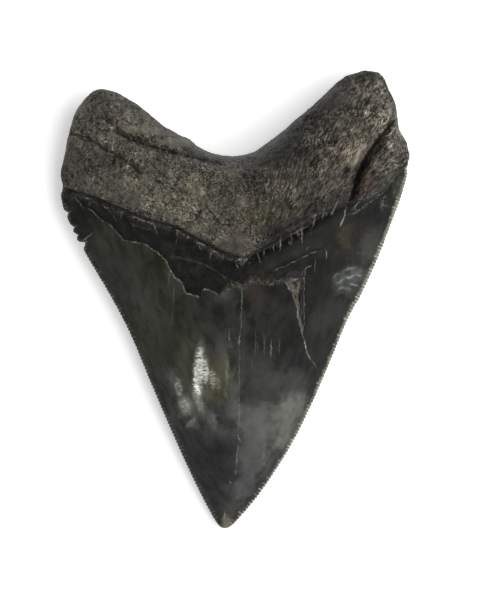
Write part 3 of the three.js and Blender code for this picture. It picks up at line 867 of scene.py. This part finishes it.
reflectedFeather = [
    (-8.1, -8.4, -9.2, -26, 2, 1), (-7.7, -11.4, -6.7, -22.6, 1.7, 0.88),
    (-6, -15, -4.9, -23.2, 1.5, 0.7), (-4.4, -17.4, -3.6, -23.4, 1.3, 0.52),
    (-14.4, -17.4, -13, -24.8, 1.4, 0.66), (-15.6, -15.8, -14.6, -22, 1.3, 0.42),
    (-13.6, -22.4, -10.6, -29.4, 2.3, 0.5), (-12.4, -31.8, -8.9, -28, 1.1, 0.48),
    (-9.6, -22.4, -7, -29, 1.5, 0.46), (-6.6, -25.4, -4.4, -33, 1.6, 0.34),
    (-1.8, -12, -1.9, -23, 0.7, 0.36), (-2.8, -20.6, -1.6, -24.6, 0.8, 0.4),
]
# longer pale lines, from left to right: half width, how pale each is, and its points
longLines = [
    (0.2, 0.6, [(-39.2, 25.4), (-37.8, 23.7), (-36.7, 22.1)]),
    (0.2, 0.6, [(-35.5, 22.1), (-34.3, 21.4), (-33.1, 20.2), (-31.5, 18.8)]),
    (0.2, 0.56, [(-30.6, 18.8), (-29, 16.7), (-27, 14.6), (-25.2, 14.1), (-22.4, 13.8),
                 (-20.3, 12.5), (-18.6, 11.5)]),
    (0.26, 0.72, [(-18.6, 11.5), (-16.8, 9.6), (-15.5, 7), (-14.4, 5.4), (-13, 4.5), (-12.1, 2.4),
                  (-11.3, 1.4), (-8.5, 0.7)]),
    (0.24, 0.6, [(-7.8, 2.6), (-6, 2.4), (-4.3, 1.4)]),
    (0.2, 0.55, [(-32.5, 23), (-30.8, 22.3), (-29.7, 20.6), (-28.7, 19.3)]),
    (0.16, 0.2, [(-27.7, 22), (-26.4, 20.6), (-25.7, 19.2), (-24.5, 18.1), (-21.7, 17.4),
                 (-18.6, 16.2)]),
    (0.35, 0.12, [(-15.5, 10.5), (-12, 10.1), (-7.8, 8.7), (-4.3, 7), (-2.2, 5.2)]),
    (0.15, 0.32, [(9.6, 7.1), (14, 9), (18.4, 11.3), (21.1, 11.9)]),
    (0.26, 0.26, [(27.4, 20.6), (29.5, 21.3), (31.9, 23), (34.1, 24.6), (36.8, 26.5), (38.9, 30)]),
]
# the same for two that stand, from top to bottom
uprightLines = [
    (0.12, 0.34, [(17.2, 7.9), (16.9, 5.2), (16.8, -6)]),
    (0.11, 0.18, [(16.4, 7.2), (16.2, 4.8), (16.2, -4)]),
]
# the strokes that the pale wedge of bare dentine is made of
wedgeStrokes = [
    (12.6, 5.4, 15.2, 0.8, 0.85, 1.0), (15.8, 5.4, 15.0, 0.0, 0.5, 1.0),
    (15.0, 3.0, 15.6, -4.6, 0.5, 1.0), (15.5, -3.0, 16.9, -9.8, 0.34, 1.0),
    (12.6, 5.0, 15.4, 4.8, 0.55, 1.0),
]


# Places and noises that several parts of the material use.
class Fields:
    def __init__(self, r):
        place = r.node("TexCoord", {}).outputs["Object"]
        self.place = r.vectorMaths("MULTIPLY_ADD", place, (1 / mm, 1 / mm, 1 / mm), (*middle, 0))
        self.axes = r.split(self.place)
        self.above = r.data("above")
        self.margin = r.data("margin")
        self.rim = r.data("rim")
        self.relief = r.data("relief")
        self.lingual = r.ramp(r.data("side"), -0.05, 0.05)
        self.medium = r.clouds(self.place, 0.5, 3, 0.6)
        uneven = r.ramp(r.clouds(self.place, 0.17, 2, 0.6), 0.36, 0.6, 0.6, 1.1)
        self.rough = r.times(r.less(1, r.times(r.data("worn"), 0.7)), uneven)
        self.ragged = r.moved(r.moved(self.place, 0.25, 5), 0.9, 3.2)
        self.wavy = r.moved(r.moved(self.place, 0.8, 0.8), 2.6, 0.6)
        x, y = self.axes[0], self.axes[1]
        turn = r.maths("ARCTAN2", r.less(x, fibreFocus[0]), r.less(y, fibreFocus[1]))
        reach = r.vectorMaths("DISTANCE", self.place, (*fibreFocus, 0), output="Value")
        far = r.times(reach, 0.33)
        fibre = [r.clouds(r.join(r.times(turn, distance), far, self.axes[2]), 2.2, 3, 0.75)
                 for distance in fibreReach]
        fibre = r.add(fibre[0], r.times(r.ramp(reach, *fibreReach), r.less(fibre[1], fibre[0])))
        fibrous = r.ramp(x, *grainToFibre)
        self.grain = r.clouds(self.place, 2, 3, 0.75)
        fine = r.add(self.grain, r.times(fibrous, r.less(fibre, self.grain)))
        contrast = r.ramp(x, *grainToFibre, 1.7, 2.7)
        self.fine = r.add(r.times(r.less(fine, 0.5), contrast), 0.5)
        self.finest = r.clouds(self.place, 3.2, 1, 0.5)
        self.wobble = r.times(r.less(self.medium, 0.5), 0.5)


# grey-brown, dark in its pits and cuts, with pale grains; over it painted shade on the flanks and in
# the furrows, painted highlights where it faces the light, and painted glints among its specks
def rootColour(r, f):
    x, y = f.axes[0], f.axes[1]
    colour = r.blend(r.ramp(r.clouds(f.place, 0.12, 3), 0.35, 0.65), *fossil["root"])
    colour = r.blend(r.ramp(x, -10, 14, 0, 0.75), colour, fossil["rightRoot"])
    colour = r.patches(f.ragged, colour, rootPatches)
    depth = r.times(f.rough, r.ramp(x, *grainToFibre, 0.9, 0.7))
    # darker in the low parts of the relief and paler on its high parts
    colour = r.blend(r.times(r.ramp(f.relief, -0.02, -0.22), depth), colour, fossil["hollow"])
    colour = r.blend(r.times(r.ramp(f.relief, 0.02, 0.22), f.rough, 0.5), colour, fossil["grain"])
    colour = r.blend(r.times(r.ramp(f.fine, 0.54, 0.7), f.rough, 0.65), colour, fossil["fineGrain"])
    pits = r.times(r.ramp(f.fine, 0.46, 0.32), f.rough, r.ramp(y, 32, 42, 0.85, 0.6))
    colour = r.blend(pits, colour, fossil["pit"])
    # pale specks of the root, partly painted glints of light on its grains
    specksAndGlints = r.times(r.ramp(f.finest, 0.56, 0.72), r.ramp(f.fine, 0.42, 0.58), f.rough)
    specksAndGlints = r.times(specksAndGlints, r.ramp(x, -4, 14, 1, 0.8))
    specksAndGlints = r.times(specksAndGlints, r.ramp(f.medium, 0.4, 0.6, 0.4, 0.8))
    colour = r.blend(specksAndGlints, colour, fossil["speckAndGlint"])
    colour = r.blend(r.times(r.ramp(f.finest, 0.44, 0.32), f.rough, 0.6), colour, fossil["crack"])
    # painted shade and highlight, and a few tints, multiplied in after the grains
    for at, factors, share in rootShadingAndTints:
        share = r.times(r.spot(f.ragged, *at), share, f.lingual)
        colour = r.shade(share, colour, factors)
    # painted shade on the flanks of the arch between the lobes, near the rim
    flank = r.times(r.ramp(f.rim, 7, 1), r.ramp(y, 24, 30))
    flank = r.times(flank, r.ramp(x, 36, 30), r.ramp(x, -32, -20, 0.3, 1))
    colour = r.shade(flank, colour, fossil["flankShade"])
    crack = r.strokes(f.wavy, rootCracks)
    crack = r.times(crack, r.ramp(f.fine, 0.3, 0.5, 0.5, 1), f.lingual)
    colour = r.blend(crack, colour, fossil["crack"])
    # dark along the cuts: a stain and painted shade in the furrows
    for cut in cuts:
        gap = r.lineGap(f.axes, cut["path"], cut.get("stands", False))
        gap = r.add(gap, r.times(r.less(f.fine, 0.5), 0.4))
        dark = r.times(r.ramp(gap, cut["stainAndShadeWidth"], cut["stainAndShadeWidth"] * 0.5), f.lingual, cut["share"])
        colour = r.blend(dark, colour, fossil["cut"])
    return colour


# The bourlette: nearly black on the left and dark greenish grey on the right, where the root
# line is a soft dark band, dark colour with painted shade under the root's edge.
def neckColour(r, f):
    x = f.axes[0]
    rightward = r.ramp(x, 2, 9)
    dark, pale = (r.blend(rightward, *pair) for pair in zip(fossil["neck"], fossil["rightNeck"]))
    colour = r.blend(r.ramp(r.add(f.medium, r.times(f.fine, 0.4)), 0.5, 0.95), dark, pale)
    # painted shade and dark colour in a soft band below the root line
    shadedBand = r.ramp(r.add(f.above, r.times(f.medium, 2.4)), -1.6, -0.2)
    shadedBand = r.times(shadedBand, r.ramp(x, 1, 6), r.ramp(x, 29, 24), f.lingual, 0.95)
    return r.blend(shadedBand, colour, fossil["shadedNeckBand"])


# near black and mottled with olive and grey clouds, with painted reflections: the arcs, and the
# feather with its halo and bright flecks
def enamelColour(r, f, clouds, threads):
    x, y = f.axes[0], f.axes[1]
    mottled = r.ramp(clouds, 0.3, 0.72)
    colour = r.blend(mottled, *fossil["enamel"])
    bluish = r.most(r.ramp(x, -13, -3), r.ramp(y, -17, -28))
    colour = r.blend(bluish, colour, r.blend(mottled, *fossil["bluish"]))
    colour = r.blend(r.ramp(x, -2, 12, 0, 0.75), colour, fossil["rightEnamel"])
    within = r.times(f.lingual, r.ramp(f.medium, 0.3, 0.6, 0.6, 1))
    colour = r.patches(f.ragged, colour, enamelPatches, within)
    grey = r.ramp(r.clouds(r.scaled(f.place, 1, 0.4), 1, 4, 0.7), 0.5, 0.75)
    colour = r.blend(r.times(grey, 0.08), colour, fossil["grey"])
    comb = r.most(r.spot(f.ragged, 6, -11, 6.5, 7.5), r.spot(f.ragged, -1.8, -14, 3.5, 10))
    comb = r.times(comb, f.lingual, 0.3)
    colour = r.blend(r.times(r.ramp(threads, 0.55, 0.72), comb), colour, fossil["comb"])
    # painted reflection: wavy arcs of light near the right edge
    reflectedArc = r.strokes(r.moved(f.place, 0.6, 1.2), reflectedArcs)
    reflectedArc = r.times(reflectedArc, reflectedArc, r.ramp(f.grain, 0.36, 0.56, 0.5, 1), f.lingual)
    colour = r.blend(reflectedArc, colour, fossil["reflectedArc"])
    # painted reflection: a soft pale glow around the feather
    reflectionHalo = r.times(r.spot(f.ragged, -5.4, -18, 5, 8, 10), f.lingual, 0.7)
    colour = r.blend(reflectionHalo, colour, fossil["reflectionHalo"])
    # painted reflection: the feather, a small light mirrored in streaks, with bright flecks
    ruffled = r.moved(r.moved(f.place, 0.9, 0.9), 2.4, 0.6)
    body = r.strokes(ruffled, reflectedFeather)
    body = r.times(body, body, f.lingual)
    scallops = r.clouds(r.scaled(ruffled, 0.9, 2.6), 1, 3, 0.75, 0.6)
    base = r.times(body, r.ramp(scallops, 0.32, 0.62, 0.35, 1))
    colour = r.blend(base, colour, fossil["reflectedFeather"])
    scallops = r.ramp(r.add(scallops, r.times(body, 0.16)), 0.5, 0.78)
    return r.blend(r.times(scallops, r.ramp(body, 0.1, 0.8), 0.95), colour, fossil["reflectionFleck"])


# how pale the broken lines are: the end of the root, flakes, cracks and scratches; the pale edges of
# the flake steps and of the root's end are partly a painted highlight where they catch the light
def paleLines(r, f):
    x = f.axes[0]
    broken = r.ramp(r.add(r.clouds(f.place, 0.55, 3, 0.7), r.times(f.grain, 0.4)), 0.64, 0.82)
    lip = r.add(r.add(f.above, tooth["lipBelow"]), r.times(f.wobble, 1.4))
    lip = r.maths("ABSOLUTE", lip)
    onLeft = r.times(r.ramp(x, 4, 2), r.ramp(x, -41, -38))
    lines = r.times(r.ramp(lip, 0.3, 0.06), r.times(broken, broken), onLeft, 0.55)
    dull = r.times(r.ramp(r.add(f.grain, f.medium), 0.85, 1.15, 0.2, 1), onLeft, 0.085)
    lines = r.most(lines, r.times(r.ramp(lip, 0.95, 0.3), dull))
    patchy = r.ramp(r.clouds(f.place, 0.9, 4, 0.75), 0.4, 0.64, 0.12, 1)
    axes = r.split(f.wavy)
    for standing, rows in ((False, longLines), (True, uprightLines)):
        for wide, share, path in rows:
            gap = r.lineGap(axes, path, standing)
            lines = r.most(lines, r.times(r.ramp(gap, wide, wide * 0.3), share, patchy))
    # fine upright cracks below the root line
    fray = r.clouds(r.scaled(f.wavy, 0.9, 0.13), 1, 1, 0.5)
    fray = r.ramp(r.maths("ABSOLUTE", r.less(fray, 0.5)), 0.032, 0.008)
    below = r.ramp(r.add(f.above, r.times(f.medium, 3)), -1.3, 0.3)
    below = r.times(below, r.ramp(f.medium, 0.44, 0.62))
    crack = r.times(fray, below, r.ramp(x, 0, 4, 0.7, 1), r.ramp(f.above, 0, -0.3), 0.22)
    return r.times(r.most(lines, r.strokes(f.wavy, hairs, crack)), f.lingual)


# The cutting edges are pale, most of all on the tips of the serrations: worn pale, with a painted
# highlight that is stronger and reaches further on the right, where the light falls.
def edgeWearAndHighlight(r, f):
    serration = r.data("serration")
    chance = r.chance(r.maths("FLOOR", serration))
    aside = r.maths("ABSOLUTE", r.less(r.maths("FRACT", serration), 0.5))
    length = r.add(r.times(chance, 1.1), r.times(f.grain, 0.8))
    tick = r.times(r.ramp(aside, 0.34, 0.08), r.ramp(r.less(f.rim, length), 0.1, -0.5))
    tick = r.times(tick, r.ramp(r.chance(r.add(r.maths("FLOOR", serration), 0.5)), 0, 1, 0.35, 0.9))
    reach = r.ramp(f.axes[0], 4, 26, 0.7, 1.25)
    fringe = r.ramp(r.add(r.maths("DIVIDE", f.rim, reach), r.less(f.grain, 0.5)), 1, 0.1)
    fringe = r.times(fringe, r.ramp(f.medium, 0.3, 0.6, 0.3, 1), 0.6)
    return r.times(r.most(tick, fringe), r.ramp(f.axes[0], -6, 10, 0.3, 1))


# All of the tooth in one material: the enamel first, then the bourlette and the root over it.
def fossilMaterial():
    material = bpy.data.materials.new("fossil")
    material.use_nodes = True
    r = Recipe(material.node_tree)
    shader = material.node_tree.nodes["Principled BSDF"]
    f = Fields(r)
    x = f.axes[0]
    root = rootColour(r, f)
    neck = neckColour(r, f)
    clouds = r.clouds(r.scaled(r.moved(f.place, 0.35, 2), 0.3, 0.17), 1, 3, 0.55, 0.1)
    threads = r.clouds(r.scaled(f.place, 3.4, 0.22), 1, 2, 0.6)
    enamel = enamelColour(r, f, clouds, threads)
    lines = paleLines(r, f)

    isRoot = r.ramp(r.add(f.above, r.times(f.wobble, 0.6)), -0.14, 0.14)
    isNeck = r.times(r.ramp(r.add(f.margin, r.times(f.wobble, 0.5)), -0.08, 0.12), r.less(1, isRoot))
    colour = r.blend(r.times(isNeck, r.ramp(x, 12, 26, 1, 0.45)), enamel, neck)
    colour = r.blend(isRoot, colour, root)
    # painted light and shade, and the tooth's own broad tone, multiplied in from the mesh
    colour = r.shade(1, colour, r.data("lightAndTone", "Color"))
    # painted shade: a dark line in the crease along the root line, stronger on the left
    gap = r.add(r.maths("ABSOLUTE", r.add(f.above, f.wobble)), r.times(r.less(f.grain, 0.5), 1.2))
    groove = r.times(r.ramp(gap, 0.3, 0.02), r.ramp(x, -2, 4, 0.65, 0.4), f.lingual)
    colour = r.blend(groove, colour, fossil["groove"])
    # the ragged end of the enamel below the V, and the wedge of bare dentine at its right end
    ruin = r.ramp(r.maths("ABSOLUTE", r.add(f.margin, 0.2)), 1.1, 0.2)
    ruin = r.times(ruin, r.ramp(f.grain, 0.46, 0.62))
    ruin = r.times(ruin, r.ramp(x, -4, -1.5), r.ramp(x, 13, 11), f.lingual, 0.7)
    colour = r.blend(ruin, colour, fossil["ruin"])
    bare = r.strokes(f.wavy, wedgeStrokes)
    bare = r.times(bare, r.ramp(f.grain, 0.36, 0.62, 0.3, 1), f.lingual, 0.75)
    colour = r.blend(bare, colour, fossil["wedge"])
    # a pale speck in the V
    lump = r.times(r.spot(f.wavy, 1.9, 9.7, 1.5, 0.6), r.ramp(f.grain, 0.44, 0.6), f.lingual, 0.6)
    colour = r.blend(lump, colour, fossil["lump"])
    colour = r.blend(lines, colour, fossil["line"])
    edge = r.times(edgeWearAndHighlight(r, f), r.less(1, isRoot))
    colour = r.blend(edge, colour, fossil["edge"])
    tip = r.times(r.spot(f.wavy, -2.1, -54.5, 1.5, 2.4), r.ramp(f.grain, 0.4, 0.6, 0.3, 0.75))
    colour = r.blend(tip, colour, fossil["tip"])
    material.node_tree.links.new(colour, shader.inputs["Base Color"])

    shares = [r.times(share, fossil[name + "Roughness"])
              for share, name in ((isNeck, "neck"), (isRoot, "root"), (lines, "line"))]
    gloss = r.most(r.ramp(clouds, 0.3, 0.7, *fossil["enamelRoughness"]), *shares)
    material.node_tree.links.new(gloss, shader.inputs["Roughness"])
    shader.inputs["Specular IOR Level"].default_value = fossil["specular"]

    # what is too fine for the mesh
    grit = r.times(r.add(r.times(f.fine, 0.34), r.times(f.finest, 0.06)), isRoot, f.rough)
    polish = r.add(r.times(clouds, 0.1), r.times(threads, 0.006))
    height = r.add(grit, r.times(r.less(1, isRoot), polish))
    bump = r.node("Bump", {"Strength": 1, "Distance": mm, "Height": height})
    material.node_tree.links.new(bump.outputs[0], shader.inputs["Normal"])
    return material


setCamera()
setLights()
makeFloor()
piece = toothPiece()
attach(piece, "root")
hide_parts("tooth")
bpy.context.scene.view_settings.view_transform = "Standard"
